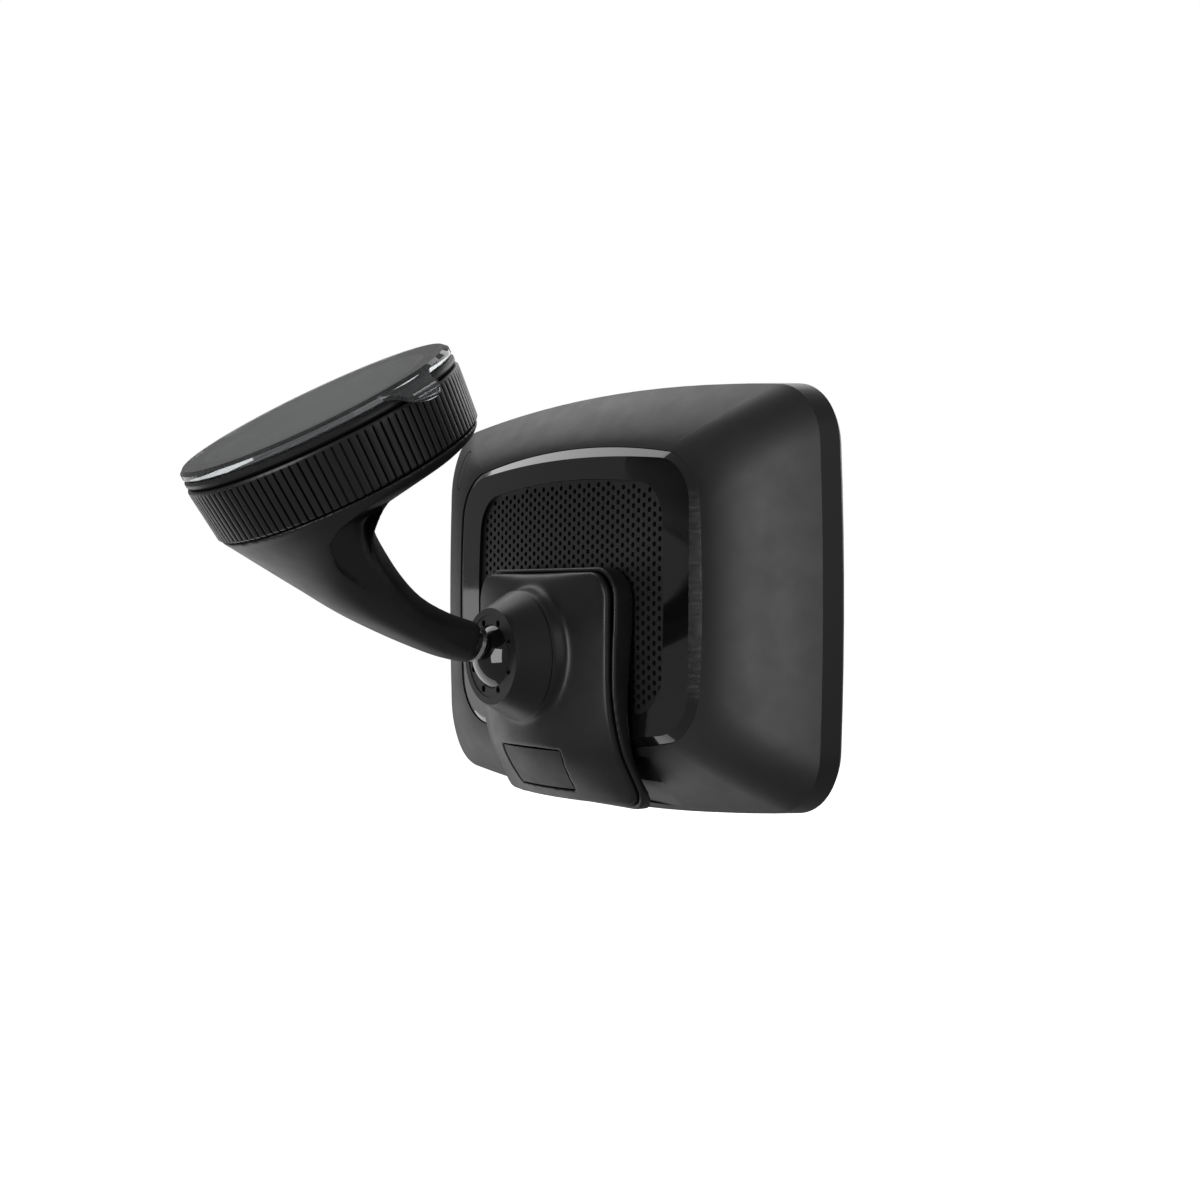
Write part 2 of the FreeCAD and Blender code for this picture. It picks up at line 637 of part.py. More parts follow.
def latch_slide():
    """Sliding plate with a hook that reaches through the dock's floor."""
    plate = tilted_box(7.0, (0.45, 1.65), (-7.4, 3.0), LATCH_PIVOT, -SLOPE)
    hook = tilted_box(5.0, (-7.0, 0.45), (-5.4, -3.4), LATCH_PIVOT, -SLOPE)
    return join([plate, hook])


def contact_window():
    window = tilted_box(5.2, (-5.0, 2.4), (-6.0, -2.0), LATCH_PIVOT, -SLOPE)
    window.translate(X * 15.0)
    return window


def contact_block():
    """Block of four sprung power pins that meet the unit's pads."""
    block = tilted_box(5.2, (-4.4, 0.8), (-6.0, -2.0), LATCH_PIVOT, -SLOPE)
    pins = []
    for i in range(4):
        pin = tilted_box(0.5, (-5.9, -4.4), (-4.5, -3.5), LATCH_PIVOT, -SLOPE)
        pin.translate(X * (-3.6 + 2.4 * i))
        pins.append(pin)
    shape = join([block] + pins)
    shape.translate(X * 15.0)
    return shape


def inlet_block(wall):
    """Outer block of the power inlet, or its hollow when wall is above zero."""
    block = box(V(-3.75 + wall, -1.35 + wall, -1.5 if wall == 0 else -2.0),
                V(3.75 - wall, 1.35 - wall, 5.0 if wall == 0 else 4.2))
    block.rotate(ORIGIN, X, INLET_TILT)
    block.translate(INLET_PIVOT)
    return block


def power_inlet():
    """Metal shell of the micro-USB inlet with its tongue, open downwards."""
    shell = inlet_block(0.0).cut(inlet_block(0.35))
    tongue = box(V(-2.2, -0.3, -0.8), V(2.2, 0.3, 4.2))
    tongue.rotate(ORIGIN, X, INLET_TILT)
    tongue.translate(INLET_PIVOT)
    shell = join([shell, tongue])
    return shell.common(dock_outline())


def dock_cover():
    """Crowned cover with the boss's base, the release pocket and four screw bosses."""
    lip = DOCK_SEAM + 0.12
    outline = dock_outline(lip)
    outer = crown_solid(0.0).common(outline)
    inner = crown_solid(COVER_WALL, base_drop=6.0).common(dock_outline(lip + 1.5))
    foot = cone(BOSS_FOOT_RADIUS, BOSS_BASE_RADIUS, on_axis(7.0), Y, BOSS_FOOT_Y - 7.0)
    waist = cone(BOSS_BASE_RADIUS, SEAM_RADIUS, on_axis(BOSS_FOOT_Y), Y, SEAM_Y - BOSS_FOOT_Y)
    shell = join([outer, foot, waist]).cut(inner)
    bosses = []
    for x, z in DOCK_SCREWS:
        bosses.append(cylinder(2.3, V(x, -3, z), Y, 20).common(outer).cut(floor_block()))
    boss_core = tube(BOSS_BASE_RADIUS - 0.8, SEAT_RADIUS, on_axis(6.0), Y, SEAM_Y - 6.0)
    shell = join([shell, boss_core] + bosses)
    shell = shell.cut(cylinder(SEAT_RADIUS, on_axis(-2), Y, 20))
    shell = shell.cut(panel_prism(GAP))
    for x, z in DOCK_SCREWS:
        shell = shell.cut(cylinder(0.9, V(x, -3, z), Y, 8.2 if z > -20 else 7.6))
    return shell


def release_button():
    """Crowned push panel that follows the cover's surface."""
    plate = crown_solid(0.3).cut(crown_solid(1.9, edge_half=26.0, base_drop=9.0))
    plate = plate.common(panel_prism(0.0))
    return plate


def button_springs():
    springs = [coil_spring(1.3, 0.25, 1.1, V(x, 1.9, -34.2), Y, 4.7) for x in (-8.8, 8.8)]
    return Part.makeCompound(springs)


def dock_screws():
    screws = []
    for x, z in DOCK_SCREWS:
        start = 1.45 if z > -20 else 0.75
        screws.append(screw(V(x, start, z), Y, 3.4, 0.9, 1.1, 0.8))
    return Part.makeCompound(screws)


# ---------------------------------------------------------------- navigator, unit frame
SHOULDER_POWER = 1.6          # the shoulder falls as this power of the way out
SHOULDER_STEPS = 6
TRIM_Y = -1.15                # height of the back under the surround's edge
SEAT_DROP = 3.0               # depth of the back's inner face behind the surround
RECESS_HALF_WIDTH = 28.6
RECESS = [(3.0, -33.1), (-4.4, -33.1), (-6.1, -38.6), (-9.2, -41.6), (-11.4, -44.2), (3.0, -44.2)]
BUTTON_AT = V(50.5, 0, 32.3)
BUTTON_LENGTH = 9.4
BUTTON_WIDTH = 3.4
SCREW_POSTS = [(-62.0, 34.0), (62.0, 34.0), (-62.0, -33.0), (62.0, -33.0)]


def blend(start, end, share):
    return start + (end - start) * share


def shoulder_section(share_out, y, shrink):
    """Outline between the surround's edge (0) and the crease (1)."""
    return bowed_outline(
        blend(RING_HALF_WIDTH - 1.0, UNIT_HALF_WIDTH - 0.5, share_out) - shrink,
        blend(RING_TOP - 1.0, UNIT_TOP - 0.5, share_out) - shrink,
        blend(RING_BOTTOM + 1.0, UNIT_BOTTOM + 0.5, share_out) + shrink,
        blend(TRIM_BOW, UNIT_BOW_TOP, share_out),
        blend(TRIM_BOW, UNIT_BOW_SIDE, share_out),
        blend(RING_CORNER, UNIT_CORNER, share_out) - shrink * 0.5, y)


def pillow(shrink, drop):
    """Solid under the back's outer surface, drawn in by shrink and lowered by drop on top."""
    wires = []
    for step in range(SHOULDER_STEPS, -1, -1):
        out = step / SHOULDER_STEPS
        y = blend(TRIM_Y - drop, CREASE_Y, out ** SHOULDER_POWER)
        wires.append(shoulder_section(out, y, shrink))
    return Part.makeLoft(wires, True, False)


def recess_tool(grow):
    """Pocket in the lower back that takes the dock's toe."""
    points = [(y - grow, z + grow * 0.6) for y, z in RECESS]
    return side_prism(points, RECESS_HALF_WIDTH + grow)


def back_shell():
    """Pillow-shaped back, hollow, with the speaker window and the dock recess."""
    outer = pillow(0.0, 0.0).cut(recess_tool(0.0))
    inner = pillow(WALL, SEAT_DROP).cut(recess_tool(WALL))
    shell = outer.cut(inner)
    shell = shell.cut(prism(ring_outline(-4.0), 6.0).common(back_band(-0.95, 8.0)))
    shell = shell.cut(prism(grille_outline(-8, 3.0), 12))
    shell = shell.cut(latch_slot())
    shell = shell.cut(pad_slots())
    shell = shell.cut(button_pill(BUTTON_WIDTH / 2 + GAP, BUTTON_LENGTH / 2 + GAP, -20, 10))
    posts = []
    for x, z in SCREW_POSTS:
        post = tube(2.6, 1.1, V(x, CREASE_Y + 0.1, z), Y, 12)
        posts.append(post.common(pillow(WALL / 2, WALL)))
    return join([shell] + posts)


def back_band(low, high):
    return back_sphere(high).cut(back_sphere(low))


def latch_slot():
    """Slot in the recess floor that the dock's hook enters."""
    return tilted_box(5.8, (-9.0, -3.4), (-7.9, -2.6), LATCH_PIVOT, -SLOPE)


def pad_slots():
    slot = tilted_box(5.0, (-9.0, -4.3), (-5.6, -2.6), LATCH_PIVOT, -SLOPE)
    slot.translate(X * 15.0)
    return slot


def contact_pads():
    """Four flush metal pads in the recess floor."""
    pads = []
    for i in range(4):
        pad = tilted_box(0.8, (-6.7, -6.0), (-5.0, -3.2), LATCH_PIVOT, -SLOPE)
        pad.translate(X * (11.4 + 2.4 * i))
        pads.append(pad)
    carrier = tilted_box(5.0, (-7.8, -6.7), (-5.6, -2.6), LATCH_PIVOT, -SLOPE)
    carrier.translate(X * 15.0)
    return join([carrier] + pads)


def bevel_outline(y, share):
    """Surround's outline drawn in by a share of its bevel, which is wider at the sides."""
    return bowed_outline(RING_HALF_WIDTH - BEVEL_SIDE * share, RING_TOP - BEVEL_TOP * share,
                         RING_BOTTOM + BEVEL_TOP * share, TRIM_BOW, TRIM_BOW,
                         RING_CORNER - BEVEL_TOP * share, y)


def surround_ring():
    """Raised gloss surround with a bevelled outer edge, following the back's crown."""
    ring = prism(ring_outline(-3.0), 6.0).cut(prism(grille_outline(-4.0), 8.0))
    ring = ring.common(back_band(-0.9, RING_RISE))
    bevel = Part.makeLoft([bevel_outline(-3.2, -1.0), bevel_outline(-1.7, -0.1),
                           bevel_outline(1.0, 1.3)], True, True)
    return ring.common(bevel)


def speaker_grille():
    """Curved grille plate set into the surround."""
    plate = prism(grille_outline(-3.0, 0.05), 6.0)
    return plate.common(back_band(-0.9, 0.0))


def front_bezel():
    """Front frame: side band, glass seat and screw bosses."""
    outer = Part.makeLoft([unit_outline(CREASE_Y, 0.5), unit_outline(-17.4),
                           unit_outline(FRONT_Y, 0.7)], True, True)
    glass_pocket = prism(unit_outline(FRONT_Y - 1, 1.9, 7.6), 2.0)
    window = prism(unit_outline(FRONT_Y - 1, 8.0, 3.0), 4.0)
    hollow = prism(unit_outline(-16.2, 2.3, 7.2), 6.0)
    frame = outer.cut([glass_pocket, window, hollow])
    return frame.cut(usb_block(0.0))


def touch_glass():
    return prism(unit_outline(-18.35, 2.0, 7.5), 0.95)


def lcd_module():
    """Five-inch display: panel in a folded metal tray."""
    panel = box(V(-60.0, -17.35, -34.3), V(60.0, -14.6, 34.8))
    tail = box(V(-14, -14.6, -30), V(14, -14.35, -22))
    return panel.fuse(tail)


def mid_frame():
    """Magnesium plate that carries the board and the battery."""
    plate = prism(unit_outline(-14.3, 2.6, 6.5), 0.8).cut(usb_block(0.0))
    for x, z in SCREW_POSTS:
        plate = plate.cut(cylinder(1.6, V(x, -16, z), Y, 4))
    ribs = [box(V(-64, -13.5, 24.0), V(-12, -12.6, 25.0)), box(V(-64, -13.5, -25), V(-12, -12.6, -24))]
    return join([plate] + ribs)


def main_board():
    board = box(V(-9.0, -13.2, -30.0), V(58.0, -12.0, 30.0))
    chips = [box(V(2, -12.0, -26), V(14, -11.0, -14)), box(V(2, -12.0, 20), V(10, -11.2, 27)),
             box(V(44, -12.0, -28), V(56, -10.6, -22))]
    return join([board] + chips)


def shield_can():
    outer = box(V(22.5, -12.0, -12), V(44, -10.0, 10))
    inner = box(V(22.8, -12.0, -11.7), V(43.7, -10.3, 9.7))
    return outer.cut(inner)


def gps_antenna():
    """Ceramic patch with its feed pad."""
    patch = box(V(20, -12.0, 12.5), V(42, -8.2, 29.5))
    return patch.fuse(cylinder(1.0, V(31, -8.2, 21), Y, 0.4))


def battery():
    pack = box(V(-61, -13.3, -22), V(-19.5, -8.6, 22))
    edges = [edge for edge in pack.Edges if edge.BoundBox.ZLength > 40]
    return pack.makeFillet(1.6, edges)


def battery_foam():
    return box(V(-56, -8.6, -12), V(-24, -7.4, 12))


SPEAKER_AT = V(0, 0, 1.0)


def speaker_basket():
    """Round speaker frame, open to the grille."""
    at = SPEAKER_AT
    rim = tube(17.0, 14.8, at + Y * -4.6, Y, 1.6)
    bowl = cone(9.4, 17.0, at + Y * -8.4, Y, 3.8).cut(cone(8.4, 15.8, at + Y * -8.4, Y, 3.8))
    return join([rim, bowl])


def speaker_cone():
    """Paper cone with its dust dome."""
    at = SPEAKER_AT
    paper = cone(5.2, 14.4, at + Y * -6.4, Y, 2.6).cut(cone(4.8, 14.0, at + Y * -6.2, Y, 2.6))
    dome = Part.makeSphere(8.0, at + Y * -11.9).common(cylinder(5.4, at + Y * -6.4, Y, 6))
    return join([paper, dome])


def speaker_magnet():
    at = SPEAKER_AT
    return cylinder(8.4, at + Y * -11.6, Y, 3.2)


def speaker_gasket():
    return tube(17.0, 15.0, SPEAKER_AT + Y * -3.0, Y, 1.6)


def button_pill(half_width, half_length, low_y, high_y):
    """Stadium-shaped prism along Y at the power button's place."""
    straight = half_length - half_width
    at = V(BUTTON_AT.x, low_y, BUTTON_AT.z)
    depth = high_y - low_y
    ends = [cylinder(half_width, at + Z * (side * straight), Y, depth) for side in (-1, 1)]
    middle = box(at - X * half_width - Z * straight,
                 at + X * half_width + Z * straight + Y * depth)
    return join(ends + [middle])


def power_button():
    """Pill-shaped key whose top follows the shoulder, with a retaining flange inside."""
    cap = button_pill(BUTTON_WIDTH / 2, BUTTON_LENGTH / 2, -9.6, 4).common(pillow(0.1, 0.0))
    flange = button_pill(BUTTON_WIDTH / 2 + 0.9, BUTTON_LENGTH / 2 + 0.9, -10.6, -9.6)
    return join([cap, flange])


def power_switch():
    """Tact switch on the board, under the key."""
    body = box(V(BUTTON_AT.x - 2, -12.0, 24.5), V(BUTTON_AT.x + 2, -11.6, 29.8))
    return body


def usb_block(wall):
    depth = 0.0 if wall == 0 else 0.8
    return box(V(-41.5 + wall, -16.0 + wall, -50.0), V(-33.5 - wall, -13.1 - wall, -40.0 - depth))


def usb_port():
    """Micro-USB receptacle at the unit's lower edge."""
    trim = prism(unit_outline(-17.0, 0.6), 6.0)
    shell = usb_block(0.0).cut(usb_block(0.35))
    tongue = box(V(-39.6, -14.8, -44.6), V(-35.4, -14.3, -40.8))
    return join([shell, tongue]).common(trim)


def microphone():
    return cylinder(2.0, V(-46, -13.5, 34), Y, 2.2)


def housing_screws():
    screws = []
    for x, z in SCREW_POSTS:
        screws.append(screw(V(x, -16.0, z), Y, 4.0, 1.1, 2.0, 1.2))
    return Part.makeCompound(screws)


# ---------------------------------------------------------------- write every sub-part
for make in (suction_pad, pad_retaining_ring, pad_core, lift_stem, suction_base, lock_ring,
             base_screws, lift_spring):
    write_cup(make.__name__, make())

for make in (arm, ball_stud, neck_washer, liner_inner, liner_outer, socket_seat, wave_spring,
             socket_collar, socket_ring, dock_frame, dock_cover, release_button, button_springs,
             latch_slide, contact_block, power_inlet, dock_screws, back_shell, contact_pads,
             surround_ring, speaker_grille, front_bezel, touch_glass, lcd_module, mid_frame,
             main_board, shield_can, gps_antenna, battery, battery_foam, speaker_basket,
             speaker_cone, speaker_magnet, speaker_gasket, power_button, power_switch, usb_port,
             microphone, housing_screws):
    write_unit(make.__name__, make())
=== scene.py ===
import json
import math

import bmesh
import bpy
from mathutils import Euler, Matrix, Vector

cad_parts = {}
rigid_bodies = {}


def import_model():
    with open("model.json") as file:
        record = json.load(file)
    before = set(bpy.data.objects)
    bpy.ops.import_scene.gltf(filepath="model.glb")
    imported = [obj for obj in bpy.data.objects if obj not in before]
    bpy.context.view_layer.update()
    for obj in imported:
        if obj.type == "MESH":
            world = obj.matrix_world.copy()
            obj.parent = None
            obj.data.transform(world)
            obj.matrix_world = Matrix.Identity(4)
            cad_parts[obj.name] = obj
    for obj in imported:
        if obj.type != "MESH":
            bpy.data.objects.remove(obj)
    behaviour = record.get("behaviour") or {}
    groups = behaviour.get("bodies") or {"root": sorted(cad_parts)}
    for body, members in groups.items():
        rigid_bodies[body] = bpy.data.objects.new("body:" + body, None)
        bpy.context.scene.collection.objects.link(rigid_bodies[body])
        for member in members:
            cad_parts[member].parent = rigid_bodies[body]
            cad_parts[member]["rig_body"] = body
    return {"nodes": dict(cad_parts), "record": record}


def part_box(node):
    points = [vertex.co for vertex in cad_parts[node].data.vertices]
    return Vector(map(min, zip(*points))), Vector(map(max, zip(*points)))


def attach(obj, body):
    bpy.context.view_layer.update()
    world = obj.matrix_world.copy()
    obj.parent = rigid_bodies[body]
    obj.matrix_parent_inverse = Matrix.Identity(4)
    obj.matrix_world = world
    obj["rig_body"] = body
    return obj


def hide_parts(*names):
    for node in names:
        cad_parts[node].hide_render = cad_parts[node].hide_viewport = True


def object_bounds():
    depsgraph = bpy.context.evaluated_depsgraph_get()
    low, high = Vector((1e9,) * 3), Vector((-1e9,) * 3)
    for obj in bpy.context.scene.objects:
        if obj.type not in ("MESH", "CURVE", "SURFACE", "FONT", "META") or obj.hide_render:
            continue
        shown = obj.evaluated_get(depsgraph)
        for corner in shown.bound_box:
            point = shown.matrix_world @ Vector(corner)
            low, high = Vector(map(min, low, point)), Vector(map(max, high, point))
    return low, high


# A car satellite navigator in its dock on a windscreen suction mount, seen from behind.
# Shapes are in millimetres and are scaled by MM where they meet Blender, which works in
# metres. Noise scales, bump distances, lights and the floor are in metres throughout.
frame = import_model()
CAD_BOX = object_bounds()
SLOT = {part["node"]: part["material_slot"] for part in frame["record"]["subparts"]}
MM = 0.001

# ---------------------------------------------------------------- places
FACE = Vector((0, 61.26, 39.16))      # suction face's centre, measured from the grille's centre
GLASS_TILT = math.radians(60.31)      # suction axis above the horizontal
CUP_AXIS = Vector((0, math.cos(GLASS_TILT), math.sin(GLASS_TILT)))

BACK_RADIUS = 880.0                   # gentle crown of the navigator's back
BACK_CENTRE_Z = -2                    # height of the crown's top

BOSS_Z = -12.2                        # axis of the ball and its boss
BOSS_FOOT = 17.0                      # radius where the boss meets the dock cover
BOSS_FILLET = 5.0                     # reach of the blend on both sides of that radius
BOSS_LOW_Y = 1.0                      # the blend stays above this height

DISPLAY_HALF_WIDTH, DISPLAY_HALF_HEIGHT = 0.0553, 0.0331    # metres
DISPLAY_Z = -FACE.z * MM + 0.0004


def unit_point(x, y, z):
    """Point given from the grille's centre, in the row frame in metres."""
    return (Vector((x, y, z)) - FACE) * MM


def back_height(x, z):
    """Height of the back's crown above the grille's centre."""
    return math.sqrt(BACK_RADIUS ** 2 - x ** 2 - (z - BACK_CENTRE_Z) ** 2) - BACK_RADIUS


# ---------------------------------------------------------------- node graphs
NOISE_LOW, NOISE_HIGH = 0.3, 0.7      # the part of a noise's range that is used
DUST_BLUE = 1.03                      # black plastics lean this much towards blue
GRAIN_DEPTH = 0.00002


def new_material(name):
    material = bpy.data.materials.new(name)
    material.use_nodes = True
    tree = material.node_tree
    shader = tree.nodes["Principled BSDF"]
    return material, tree, shader


def node(tree, kind, **settings):
    made = tree.nodes.new(kind)
    for key, value in settings.items():
        if key in made.inputs:
            made.inputs[key].default_value = value
        else:
            setattr(made, key, value)
    return made


def coordinates(tree, stretch=(1, 1, 1)):
    """Object coordinates, scaled per axis."""
    source = node(tree, "ShaderNodeTexCoord")
    mapping = node(tree, "ShaderNodeMapping")
    mapping.inputs["Scale"].default_value = stretch
    tree.links.new(source.outputs["Object"], mapping.inputs["Vector"])
    return mapping.outputs["Vector"]


def noise(tree, vector, scale, detail=3.0, roughness=0.55):
    made = node(tree, "ShaderNodeTexNoise", Scale=scale, Detail=detail, Roughness=roughness)
    tree.links.new(vector, made.inputs["Vector"])
    return made.outputs["Fac"]


def spread(tree, value, low, high):
    """Maps a texture value onto a range."""
    made = node(tree, "ShaderNodeMapRange")
    made.inputs["From Min"].default_value = NOISE_LOW
    made.inputs["From Max"].default_value = NOISE_HIGH
    made.inputs["To Min"].default_value = low
    made.inputs["To Max"].default_value = high
    tree.links.new(value, made.inputs["Value"])
    return made.outputs["Result"]


def tint(tree, value, dark, light):
    """Colour between dark and light by a texture value."""
    ramp = node(tree, "ShaderNodeValToRGB")
    ramp.color_ramp.elements[0].position = NOISE_LOW
    ramp.color_ramp.elements[1].position = NOISE_HIGH
    ramp.color_ramp.elements[0].color = (*dark, 1)
    ramp.color_ramp.elements[1].color = (*light, 1)
    tree.links.new(value, ramp.inputs["Fac"])
    return ramp.outputs["Color"]


def bump(tree, shader, height, strength, distance):
    made = node(tree, "ShaderNodeBump", Strength=strength, Distance=distance)
    tree.links.new(height, made.inputs["Height"])
    tree.links.new(made.outputs["Normal"], shader.inputs["Normal"])


def grey(level, blue=DUST_BLUE):
    return (level, level, level * blue)


def moulded(name, level, rough, grain=5200.0, spread_rough=0.05, strength=0.35):
    """Moulded plastic: spark-eroded grain, faint flow mottling and uneven sheen."""
    material, tree, shader = new_material(name)
    vector = coordinates(tree)
    flow = noise(tree, vector, 38.0, 2.0)
    colour = tint(tree, flow, grey(level * 0.86), grey(level * 1.14))
    tree.links.new(colour, shader.inputs["Base Color"])
    cloud = noise(tree, vector, 160.0, 4.0)
    tree.links.new(spread(tree, cloud, rough - spread_rough, rough + spread_rough),
                   shader.inputs["Roughness"])
    bump(tree, shader, noise(tree, vector, grain, 2.0, 0.6), strength, GRAIN_DEPTH)
    return material


def gloss(name, level, rough):
    """Polished black plastic with faint orange peel and dust-fine wipe marks."""
    material, tree, shader = new_material(name)
    vector = coordinates(tree)
    colour = tint(tree, noise(tree, vector, 30.0), grey(level * 0.8), grey(level * 1.2))
    tree.links.new(colour, shader.inputs["Base Color"])
    wipes = noise(tree, coordinates(tree, (1, 1, 6)), 240.0, 4.0)
    tree.links.new(spread(tree, wipes, rough * 0.7, rough * 1.4), shader.inputs["Roughness"])
    bump(tree, shader, noise(tree, vector, 420.0, 1.0), 0.04, 0.00008)
    shader.inputs["Coat Weight"].default_value = 0.6
    shader.inputs["Coat Roughness"].default_value = 0.04
    return material


def gel(name):
    """Clear sticky polyurethane with soft waves and streaks."""
    material, tree, shader = new_material(name)
    vector = coordinates(tree)
    colour = tint(tree, noise(tree, vector, 60.0), (0.40, 0.42, 0.43), (0.58, 0.60, 0.61))
    tree.links.new(colour, shader.inputs["Base Color"])
    streaks = noise(tree, coordinates(tree, (1.0, 3.0, 3.0)), 22.0, 1.0)
    tree.links.new(spread(tree, streaks, 0.01, 0.05), shader.inputs["Roughness"])
    bump(tree, shader, noise(tree, coordinates(tree, (1.0, 2.4, 1.6)), 26.0, 0.0), 0.10, 0.0009)
    shader.inputs["Transmission Weight"].default_value = 0.94
    shader.inputs["IOR"].default_value = 1.47
    return material


def display_glass(name):
    """Touch glass: deep black border printed round a slightly lighter display window."""
    material, tree, shader = new_material(name)
    place = node(tree, "ShaderNodeTexCoord")
    parts = node(tree, "ShaderNodeSeparateXYZ")
    tree.links.new(place.outputs["Object"], parts.inputs["Vector"])
    edges = []
    for axis, centre, half in (("X", 0.0, DISPLAY_HALF_WIDTH),
                               ("Z", DISPLAY_Z, DISPLAY_HALF_HEIGHT)):
        offset = node(tree, "ShaderNodeMath", operation="SUBTRACT")
        offset.inputs[1].default_value = centre
        size = node(tree, "ShaderNodeMath", operation="ABSOLUTE")
        inside = node(tree, "ShaderNodeMath", operation="LESS_THAN")
        inside.inputs[1].default_value = half
        tree.links.new(parts.outputs[axis], offset.inputs[0])
        tree.links.new(offset.outputs[0], size.inputs[0])
        tree.links.new(size.outputs[0], inside.inputs[0])
        edges.append(inside.outputs[0])
    window = node(tree, "ShaderNodeMath", operation="MULTIPLY")
    tree.links.new(edges[0], window.inputs[0])
    tree.links.new(edges[1], window.inputs[1])
    colour = node(tree, "ShaderNodeMix", data_type="RGBA")
    colour.inputs["A"].default_value = (0.002, 0.002, 0.002, 1)
    colour.inputs["B"].default_value = (0.020, 0.022, 0.026, 1)
    tree.links.new(window.outputs[0], colour.inputs["Factor"])
    tree.links.new(colour.outputs["Result"], shader.inputs["Base Color"])
    smears = noise(tree, coordinates(tree, (1, 1, 2)), 45.0, 3.0)
    tree.links.new(spread(tree, smears, 0.03, 0.09), shader.inputs["Roughness"])
    return material


def metal(name, level, rough):
    """Bright metal with drawn lines."""
    material, tree, shader = new_material(name)
    lines = noise(tree, coordinates(tree, (1, 1, 14)), 900.0, 4.0)
    colour = tint(tree, lines, grey(level * 0.85, 1.0), grey(level * 1.08, 1.0))
    tree.links.new(colour, shader.inputs["Base Color"])
    tree.links.new(spread(tree, lines, rough * 0.7, rough * 1.4), shader.inputs["Roughness"])
    bump(tree, shader, lines, 0.12, GRAIN_DEPTH)
    shader.inputs["Metallic"].default_value = 1.0
    return material


def mottled(name, dark, light, rough, scale=300.0, depth=0.00006, metallic=0.0):
    """Anything uneven: laminate, ceramic, foam, wrap or paper."""
    material, tree, shader = new_material(name)
    vector = coordinates(tree)
    patches = noise(tree, vector, scale, 5.0)
    tree.links.new(tint(tree, patches, dark, light), shader.inputs["Base Color"])
    tree.links.new(spread(tree, patches, rough - 0.08, rough + 0.08), shader.inputs["Roughness"])
    bump(tree, shader, noise(tree, vector, scale * 4, 3.0), 0.4, depth)
    shader.inputs["Metallic"].default_value = metallic
    return material


MATERIALS = {
    "arm_plastic": moulded("arm_satin", 0.012, 0.40, grain=4200.0, strength=0.3),
    "mount_plastic": moulded("mount_satin", 0.013, 0.36, grain=4600.0, strength=0.3),
    "gel": gel("clear_gel"),
    "ball_gloss": gloss("ball_polish", 0.006, 0.06),
    "steel": metal("bright_steel", 0.62, 0.26),
    "liner": moulded("acetal", 0.05, 0.45),
    "dock_plastic": moulded("dock_satin", 0.0125, 0.38, grain=5000.0, strength=0.28),
    "button_plastic": moulded("button_matt", 0.016, 0.50, grain=6500.0, strength=0.5),
    "soft_touch": moulded("soft_touch_coat", 0.013, 0.44, grain=8000.0, strength=0.22,
                          spread_rough=0.03),
    "bezel_plastic": moulded("bezel_satin", 0.012, 0.36, grain=6000.0, strength=0.25),
    "screen_glass": display_glass("screen_glass"),
    "piano_gloss": gloss("piano_black", 0.005, 0.07),
    "grille_plastic": moulded("grille_satin", 0.017, 0.42, grain=6000.0, strength=0.3),
    "circuit_board": mottled("solder_mask", (0.008, 0.06, 0.02), (0.014, 0.10, 0.035), 0.35),
    "ceramic": mottled("bare_ceramic", (0.42, 0.34, 0.24), (0.52, 0.44, 0.32), 0.6),
    "magnesium": mottled("chromated_magnesium", (0.34, 0.34, 0.30), (0.5, 0.5, 0.46), 0.4,
                         metallic=0.9),
    "cell_wrap": mottled("cell_wrap", (0.02, 0.02, 0.025), (0.035, 0.035, 0.04), 0.3),
    "foam": mottled("closed_foam", (0.004, 0.004, 0.004), (0.010, 0.010, 0.010), 0.85, 1400.0,
                    0.0001),
    "paper": mottled("pressed_paper", (0.015, 0.015, 0.018), (0.03, 0.03, 0.034), 0.75, 1800.0),
}


def dress(thing, slot_name):
    """Gives an object the material of one of the record's slots, and nothing else."""
    thing.data.materials.clear()
    thing.data.materials.append(MATERIALS[slot_name])


def dress_cad_nodes():
    """Every CAD node gets its slot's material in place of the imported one."""
    for name, cad in frame["nodes"].items():
        for place in range(max(1, len(cad.material_slots))):
            if place >= len(cad.material_slots):
                cad.data.materials.append(MATERIALS[SLOT[name]])
            cad.material_slots[place].material = MATERIALS[SLOT[name]]


# ---------------------------------------------------------------- meshes
WELD = 0.000004                       # metres: a CAD face's points lie on its neighbour's
SLIVER = 0.000002
EASE = 0.5                            # share of the way each smoothing pass moves a point


def add_mesh(name, build, slot_name):
    """Object from a bmesh, which is freed."""
    mesh = bpy.data.meshes.new(name)
    build.to_mesh(mesh)
    build.free()
    made = bpy.data.objects.new(name, mesh)
    bpy.context.scene.collection.objects.link(made)
    dress(made, slot_name)
    return made


def smooth_by_angle(thing, degrees):
    """Smooth shading across every edge that bends by less than degrees."""
    mesh = thing.data
    limit = math.radians(degrees)
    work = bmesh.new()
    work.from_mesh(mesh)
    for edge in work.edges:
        edge.smooth = len(edge.link_faces) == 2 and edge.calc_face_angle(0) < limit
    for face in work.faces:
        face.smooth = True
    work.to_mesh(mesh)
    work.free()


def apply_modifiers(thing):
    """Replaces the mesh with what its modifiers make of it."""
    bpy.context.view_layer.update()
    graph = bpy.context.evaluated_depsgraph_get()
    final = bpy.data.meshes.new_from_object(thing.evaluated_get(graph))
    thing.modifiers.clear()
    thing.data = final


def cad_copy(name, new_name):
    """Free copy of a CAD node's mesh with its seams welded."""
    work = bmesh.new()
    work.from_mesh(frame["nodes"][name].data)
    bmesh.ops.remove_doubles(work, verts=work.verts, dist=WELD)
    bmesh.ops.dissolve_degenerate(work, dist=SLIVER, edges=work.edges)
    return add_mesh(new_name, work, SLOT[name])


